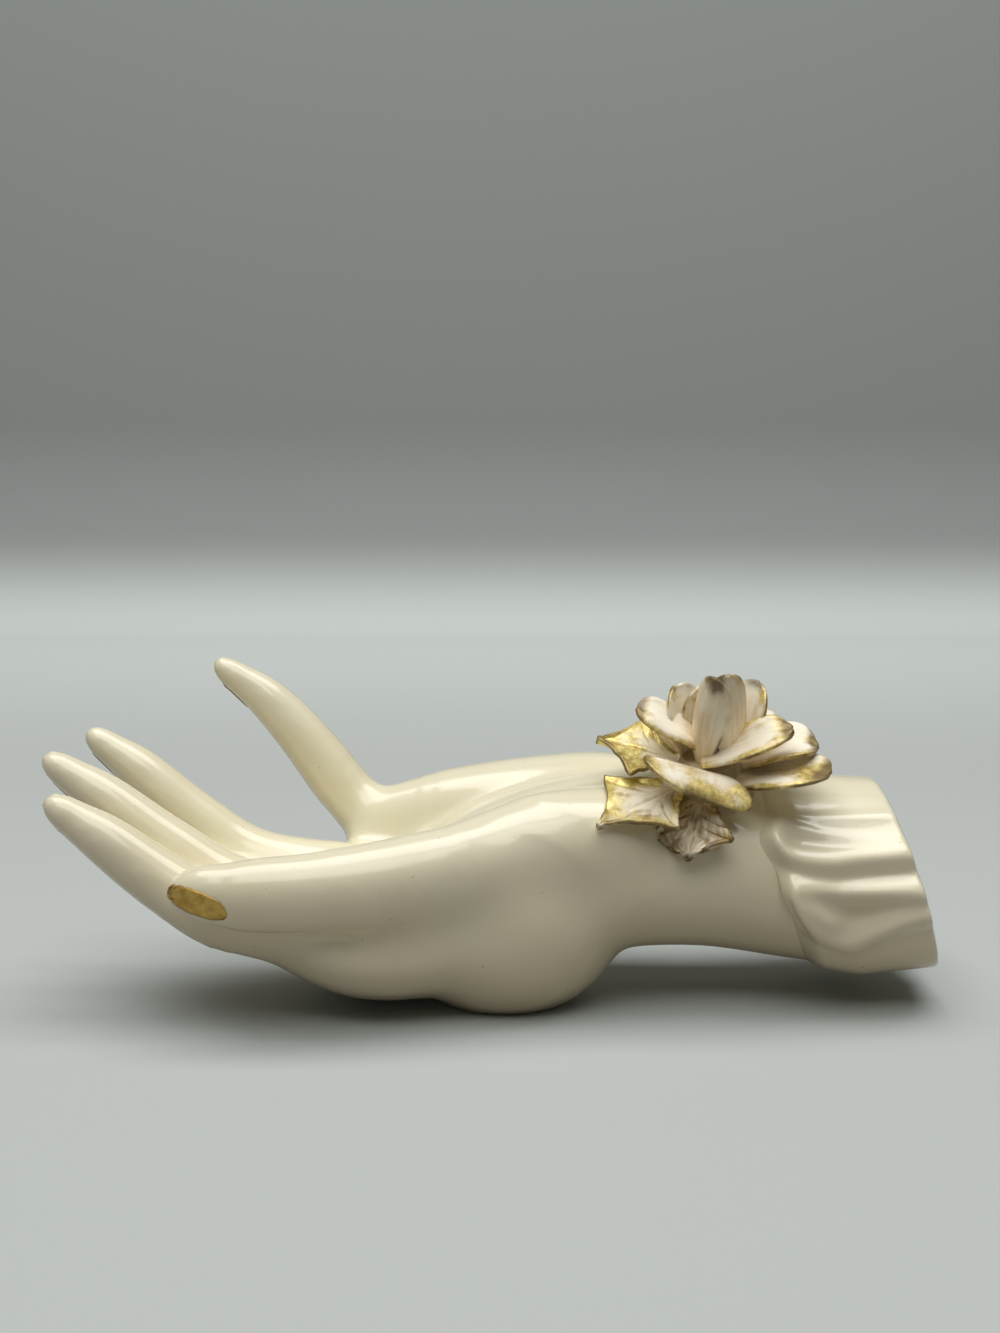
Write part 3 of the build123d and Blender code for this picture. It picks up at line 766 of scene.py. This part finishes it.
class Paint:
    """The nodes of a new material, or of a world that is given."""

    def __init__(self, name, world=None):
        self.material = world or bpy.data.materials.new(name)
        self.material.use_nodes = True
        self.tree = self.material.node_tree
        self.shader = self.tree.nodes["Background" if world else "Principled BSDF"]

    def node(self, kind, settings=None, inputs=None, output=0):
        """Adds a node and returns one of its outputs, or several for a tuple."""
        made = self.tree.nodes.new(kind)
        for key, value in (settings or {}).items():
            setattr(made, key, value)
        for key, value in (inputs or {}).items():
            self.feed(made.inputs[key], value)
        if isinstance(output, tuple):
            return [Value(self, made.outputs[k]) for k in output]
        return Value(self, made.outputs[output])

    def feed(self, socket, value):
        if isinstance(value, Value):
            self.tree.links.new(value.socket, socket)
        else:
            socket.default_value = value

    def set(self, **values):
        """Feeds the main shader; an underscore in a name is a space in the socket's."""
        for key, value in values.items():
            self.feed(self.shader.inputs[key.replace("_", " ")], value)

    def mix(self, factor, low, high):
        """A colour between two colours."""
        low, high = ((*c, 1) if isinstance(c, tuple) else c for c in (low, high))
        return self.node("ShaderNodeMix", {"data_type": "RGBA"}, {0: factor, 6: low, 7: high}, output=2)

    def place(self):
        return self.node("ShaderNodeTexCoord", output=3)

    def axes(self):
        """The place as three values: x, y and z in metres."""
        return self.node("ShaderNodeSeparateXYZ", None, {0: self.place()}, output=(0, 1, 2))

    def speckle(self, scale, detail=3.0, roughness=0.5):
        """Cloudy noise in object space; scale is in features per metre."""
        inputs = {"Vector": self.place(), "Scale": scale, "Detail": detail, "Roughness": roughness}
        return self.node("ShaderNodeTexNoise", None, inputs)

    def uv(self):
        """The sheet's own coordinates: across and along, both from 0 to 1."""
        spot = self.node("ShaderNodeUVMap", {"uv_map": "rim"})
        return self.node("ShaderNodeSeparateXYZ", None, {0: spot}, output=(0, 1))

    def grain(self, across_scale, along_scale):
        """Noise drawn out along a sheet, as a brush or a vein leaves it."""
        across, along = self.uv()
        spot = self.node("ShaderNodeCombineXYZ", None, {0: across * across_scale, 1: along * along_scale})
        inputs = {"Vector": spot, "Scale": 1.0, "Detail": 3.0, "Roughness": 0.6}
        return self.node("ShaderNodeTexNoise", None, inputs)

    def bump(self, height, distance, strength=1.0):
        inputs = {"Height": height, "Distance": distance, "Strength": strength}
        self.set(Normal=self.node("ShaderNodeBump", None, inputs))


def srgb(red, green, blue):
    """A colour as it is read off a screen, made linear for the shader."""
    return tuple(c / 12.92 / 255 if c < 10.3 else ((c / 255 + 0.055) / 1.055) ** 2.4 for c in (red, green, blue))


print("paint helpers ready")

# %% [markdown]
# ## Cream glaze
# The hand and the cuff wear a clear, slightly yellow earthenware glaze. It is thin on ridges and pools in
# hollows, so its tone drifts a little, and under the gloss there are a few dark specks of iron.

# %% Mix the glaze
glaze = Paint("cream_glaze")
cloud = glaze.speckle(28, 2.0).fade(0.3, 0.7)
drift = glaze.mix(cloud, srgb(240, 233, 204), srgb(235, 226, 194))
specks = glaze.speckle(900, 1.0).fade(0.76, 0.82)
glaze.set(Base_Color=glaze.mix(specks * 0.35, drift, srgb(120, 96, 66)))
glaze.set(Roughness=0.2 + glaze.speckle(60, 2.0) * 0.08)
glaze.set(IOR=1.5)
glaze.set(Coat_Weight=0.5)
glaze.set(Coat_Roughness=0.04)
glaze.bump(glaze.speckle(45, 1.0), 0.0006, 0.25)
print("glaze mixed")

# %% [markdown]
# ## Petals brushed with gold
# The petals are pale clay with a brown wash rubbed into them, and gold was dragged over the rims with a dry
# brush, mostly on the side that faces the viewer. The UV map says how near a point is to the rim; noise breaks
# the edge of the gold into brush marks, and the tips that reach furthest out are scorched.

# %% Gild the petals
def rim_nearness(paint):
    """1 at a sheet's lip and sides, 0 in its middle and at its root; then how far out and how far along."""
    across, along = paint.uv()
    side = (across * 2.0 - 1.0).size()
    return side.biggest(along), side, along


petal_paint = Paint("petal_clay")
near_rim, side, along = rim_nearness(petal_paint)
streaks = petal_paint.grain(13.0, 1.7)
patches = petal_paint.speckle(120, 3.0)
fine = petal_paint.speckle(700, 4.0, 0.7)
x, y, _ = petal_paint.axes()
front = 1.0 - y.fade(-0.016, 0.004)
gold = ((side * 0.94).biggest(along) + patches * 1.1 + streaks * 0.15 + front * 0.27 - 0.83).fade(0.66, 0.94)
wash = (streaks * 0.6 + patches * 0.7 - along * 0.3).fade(0.42, 0.82)
clay_tone = petal_paint.mix(wash, srgb(252, 244, 224), srgb(214, 188, 142))
gold_tone = petal_paint.mix(fine.fade(0.3, 0.7), srgb(182, 152, 80), srgb(244, 225, 146))
painted = petal_paint.mix(gold, clay_tone, gold_tone)
edge_line = near_rim.fade(0.95, 0.985) * patches.fade(0.42, 0.6)
scorched = near_rim.fade(0.8, 1.0) * petal_paint.speckle(70, 2.0).fade(0.5, 0.62)
far_out = (x - ROSE_BASE.x * MM).size().fade(0.011, 0.017)
burnt_tip = (along + patches * 0.25).fade(0.96, 1.06) * far_out
dark = edge_line.biggest(scorched).biggest(burnt_tip)
petal_paint.set(Base_Color=petal_paint.mix(dark * 0.8, painted, srgb(98, 74, 42)))
petal_paint.set(Metallic=gold * 0.22)
petal_paint.set(Roughness=0.5 - gold * 0.16)
petal_paint.bump(streaks * 0.6 + fine * 0.4, 0.0003, 0.4)
print("petals gilded")

# %% [markdown]
# ## The bud's curl, painted dark as shade
# The bud and the two petals that wrap it carry little gold. Their tops carry patches of brown, the curl at
# their top is painted dark as the shade in the open roll, and they are darker along the seam where the wraps
# meet, so their paint also asks how far a point lies from that seam.

# %% Rub the bud brown and paint shade into its curl
bud_paint = Paint("bud_clay")
near_bud_rim, _, along = rim_nearness(bud_paint)
bud_streaks = bud_paint.grain(11.0, 1.5)
bud_patches = bud_paint.speckle(130, 3.0)
bud_wash = (bud_streaks * 0.6 + bud_patches * 0.6).fade(0.40, 0.78)
bud_tone = bud_paint.mix(bud_wash, srgb(255, 248, 226), srgb(238, 214, 172))
bud_gold = (near_bud_rim + bud_patches * 0.6 - 0.3).fade(0.86, 1.0)
bud_gilt = bud_paint.mix(bud_gold * 0.7, bud_tone, srgb(206, 178, 108))
bud_brown = (along + bud_patches * 0.5 - 0.25).fade(0.93, 1.03) * bud_paint.speckle(260, 2.0).fade(0.44, 0.56)
off_seam = (bud_paint.axes()[0] - ROSE_BASE.x * MM).size()
# painted shade: the open top of the roll, near the seam, is painted dark
painted_curl_shade = (1.0 - off_seam.fade(0.0008, 0.0024)) * (along + bud_patches * 0.3).fade(0.93, 1.03)
seam_line = (1.0 - off_seam.fade(0.001, 0.004)) * near_bud_rim.fade(0.74, 0.96) * bud_patches.fade(0.32, 0.5)
# brown stain at the tops, painted shade in the curl, and the darker seam
bud_stain_and_shade = bud_brown.biggest(painted_curl_shade).biggest(seam_line)
bud_paint.set(Base_Color=bud_paint.mix(bud_stain_and_shade * 0.85, bud_gilt, srgb(86, 64, 38)))
bud_paint.set(Metallic=bud_gold * 0.12)
bud_paint.set(Roughness=0.52 - bud_gold * 0.12)
bud_paint.bump(bud_streaks, 0.0003, 0.4)
print("bud rubbed brown")

# %% [markdown]
# ## Leaves brushed with gold
# The leaves are painted like the petals, with more gold and with the wash caught in their veins, which the
# paint finds with the same wave that pressed them. Lower down, where the lowest leaf hangs under the rose, they
# have more brown and less gold: partly a browner wash, partly painted shade.

# %% Gild the leaves
leaf_paint = Paint("leaf_clay")
near_edge, side, along = rim_nearness(leaf_paint)
grain = leaf_paint.speckle(600, 4.0, 0.7)
blotch = leaf_paint.speckle(120, 3.0)
veins = (along * LEAF_VEINS - side * VEIN_SLANT).wave().fade(0.2, 1.0) * side.fade(0.1, 0.5)
# partly a browner wash, partly painted shade: lower down, under the rose, more brown and less gold
low_wash_and_shade = 1.0 - leaf_paint.axes()[2].fade(0.044, 0.054)
leaf_gold = (near_edge + grain * 0.25 + blotch * 1.3 - low_wash_and_shade * 0.6 - 0.53).fade(0.56, 0.96)
leaf_wash = (leaf_paint.grain(14.0, 5.0) * 0.6 + blotch * 0.4 + veins * 0.18 + low_wash_and_shade * 0.12).fade(0.43, 0.8)
leaf_clay = leaf_paint.mix(leaf_wash, srgb(252, 243, 218), srgb(158, 130, 84))
leaf_gilt = leaf_paint.mix(grain.fade(0.35, 0.65), srgb(186, 156, 80), srgb(242, 228, 146))
leaf_tone = leaf_paint.mix(leaf_gold, leaf_clay, leaf_gilt)
leaf_rim = near_edge.fade(0.96, 0.99) * blotch.fade(0.3, 0.5)
leaf_paint.set(Base_Color=leaf_paint.mix(leaf_rim * 0.75, leaf_tone, srgb(100, 74, 40)))
leaf_paint.set(Metallic=leaf_gold * 0.3)
leaf_paint.set(Roughness=0.5 - leaf_gold * 0.15)
leaf_paint.bump(grain, 0.0003, 0.35)
print("leaves gilded")

# %% [markdown]
# ## Gold lustre on the nails
# Lustre is a film of real gold far thinner than a hair, so it mirrors, but it is brushed on and it wears: it is
# browner towards the rim and scratched where it is touched. Its end is also painted darker, as the shade in
# the nail's hollow.

# %% Gild the nails
gilt = Paint("gilding")
near_nail_rim, _, along = rim_nearness(gilt)
brush = gilt.speckle(500, 4.0, 0.6)
worn = (near_nail_rim + brush * 0.3).fade(0.95, 1.2)
tone = gilt.mix(brush.fade(0.3, 0.7), srgb(160, 126, 62), srgb(190, 156, 84))
# painted shade: the end of the nail is darker, as its hollow would be in shade
painted_tip_shade = (along + brush * 0.1).fade(0.86, 1.0)
gilt.set(Base_Color=gilt.mix(worn.biggest(painted_tip_shade) * 0.75, tone, srgb(80, 58, 26)))
gilt.set(Metallic=0.9)
gilt.set(Roughness=0.24 + brush * 0.2)
gilt.bump(brush, 0.0002, 0.15)
print("nails gilded")

# %% [markdown]
# ## Which piece stands for which CAD node
# Every piece rides on the one rigid body, takes the place of its CAD node, and wears its finish. The
# hand's one skin stands for the shell and the five digits. The lump under the rose is shown as the CAD made it,
# with a paint of its own.

# %% Dress the frame


def dress(piece, paint, slot, *nodes):
    piece.data.materials.clear()
    piece.data.materials.append(paint.material)
    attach(piece, "root")
    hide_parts(*nodes)


dress(hand, glaze, "cream_glaze", "hand_shell", "thumb", "index_finger", "middle_finger", "ring_finger",
      "little_finger")
dress(cuff, glaze, "cream_glaze", "ruffled_cuff")
dress(bud, bud_paint, "petal_clay", "rose_bud")
for name, piece in petals.items():
    dress(piece, bud_paint if "wrap" in name else petal_paint, "petal_clay", name)
for name, piece in leaves.items():
    dress(piece, leaf_paint, "leaf_clay", name)
for name, piece in nails.items():
    dress(piece, gilt, "gilding", name + "_nail")
pad_paint = Paint("pad_clay")
pad_cloud = pad_paint.speckle(160, 4.0).fade(0.35, 0.7)
pad_paint.set(Base_Color=pad_paint.mix(pad_cloud, srgb(186, 166, 130), srgb(222, 208, 178)))
pad_paint.set(Roughness=0.5 + pad_cloud * 0.1)
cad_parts["rose_pad"].data.materials.clear()
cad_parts["rose_pad"].data.materials.append(pad_paint.material)
print("pieces dressed")

# %% [markdown]
# ## A small photo cove
# The hand stands on pale grey paper that sweeps up behind it. The paper is one edge, pulled back along the floor,
# spun through a quarter turn and pulled up as a wall. Paper this pale would throw too much light up at the
# belly of the hand, so it is a darker grey for every ray that isn't on its way to the camera. To the camera the
# floor is painted lighter far back, as a pool of light, and the wall is painted darker, as shade.

# %% Hang the paper
PAPER_HALF = 3.0
PAPER_FRONT = -1.6
COVE_START = 0.72
COVE_RADIUS = 0.13
COVE_STEPS = 32
WALL_HEIGHT = 1.5


def pull(bm, edges, way):
    """Extrudes edges along a vector and returns the new points."""
    made = bmesh.ops.extrude_edge_only(bm, edges=edges)["geom"]
    moved = [item for item in made if isinstance(item, bmesh.types.BMVert)]
    bmesh.ops.translate(bm, vec=way, verts=moved)
    return moved


def seen_rays(paint):
    """1 for what the camera sees, straight or in a gloss or a glass, and 0 for light on its way."""
    camera_ray, glossy_ray, glass_ray = paint.node("ShaderNodeLightPath", output=(0, 3, 6))
    return camera_ray.biggest(glossy_ray).biggest(glass_ray)


paper_bm = bmesh.new()
front_edge = paper_bm.edges.new([paper_bm.verts.new((x, PAPER_FRONT, 0)) for x in (-PAPER_HALF, PAPER_HALF)])
far = pull(paper_bm, [front_edge], (0, COVE_START - PAPER_FRONT, 0))
bend = [edge for edge in paper_bm.edges if all(vert in far for vert in edge.verts)]
turned = bmesh.ops.spin(paper_bm, geom=bend, cent=(0, COVE_START, COVE_RADIUS), axis=(1, 0, 0),
                        angle=math.radians(90), steps=COVE_STEPS)
top_edges = [item for item in turned["geom_last"] if isinstance(item, bmesh.types.BMEdge)]
pull(paper_bm, top_edges, (0, 0, WALL_HEIGHT))
paper = finish_mesh(paper_bm, "paper_cove")
paper_paint = Paint("grey_paper")
_, depth, height = paper_paint.axes()
# painted light: the floor is painted lighter far back
floor_painted_light = paper_paint.mix(depth.fade(0.25, 0.75), srgb(186, 192, 191), srgb(224, 232, 230))
# painted shade: the wall is painted darker up from the cove
paper_painted_light_and_shade = paper_paint.mix(height.fade(0.0, 0.06), floor_painted_light, srgb(157, 163, 162))
paper_paint.set(Base_Color=paper_paint.mix(seen_rays(paper_paint), srgb(150, 146, 141), paper_painted_light_and_shade))
paper_paint.set(Roughness=0.8)
paper.data.materials.append(paper_paint.material)
print("paper:", len(paper.data.polygons), "faces")

# %% [markdown]
# ## Light
# A wide soft light hangs overhead and a little behind, so the tops are bright and the undersides fall off. A
# second one above the viewer lifts the front, and the room gives a weak fill. The room is pale to look at but
# lights little, so glossy clay has something to mirror.

# %% Lamps and room
LAMP_COLOUR = (1.0, 0.99, 0.97)


def soft_light(name, place, aim, width, depth, watts):
    lamp = bpy.data.lights.new(name, "AREA")
    lamp.shape = "RECTANGLE"
    lamp.size, lamp.size_y = width, depth
    lamp.energy = watts
    lamp.color = LAMP_COLOUR
    holder = bpy.data.objects.new(name, lamp)
    holder.location = place
    holder.rotation_euler = (Vector(aim) - Vector(place)).to_track_quat("-Z", "Y").to_euler()
    bpy.context.scene.collection.objects.link(holder)


soft_light("overhead", (0.0, 0.06, 1.3), (0, 0.03, 0), 1.6, 0.8, 15.3)
soft_light("front_top", (-0.1, -0.8, 1.35), (0, 0, 0.03), 1.3, 0.8, 8.8)
room = Paint("room", bpy.data.worlds.new("room"))
bpy.context.scene.world = room.material
room.set(Color=(0.95, 0.98, 1.0, 1), Strength=0.01)
fill = Value(room, room.shader.outputs[0])
backdrop = room.node("ShaderNodeBackground", None, {"Color": (*srgb(176, 182, 181), 1)})
choice = room.node("ShaderNodeMixShader", None, {0: seen_rays(room), 1: fill, 2: backdrop})
room.feed(room.tree.nodes["World Output"].inputs[0], choice)
print("lamps and room lit")

# %% [markdown]
# ## Camera
# The camera stands in front of the thumb, a little above the hand, and looks slightly down. Lens and distance go
# together: a shorter lens nearer by would swell the thumb, and a longer one further off would flatten the hand.

# %% Set the camera
CAMERA_PLACE = (-0.0012, -0.4438, 0.1419)
CAMERA_DOWN = 7.8
SENSOR_WIDTH = 36
FOCAL_LENGTH = 51.3

lens = bpy.data.cameras.new("photo_camera")
lens.sensor_width = SENSOR_WIDTH
lens.lens = FOCAL_LENGTH
camera = bpy.data.objects.new("photo_camera", lens)
camera.location = CAMERA_PLACE
camera.rotation_euler = (math.radians(90 - CAMERA_DOWN), 0, 0)
bpy.context.scene.collection.objects.link(camera)
bpy.context.scene.camera = camera
bpy.context.scene.view_settings.view_transform = "Standard"
print("camera set")
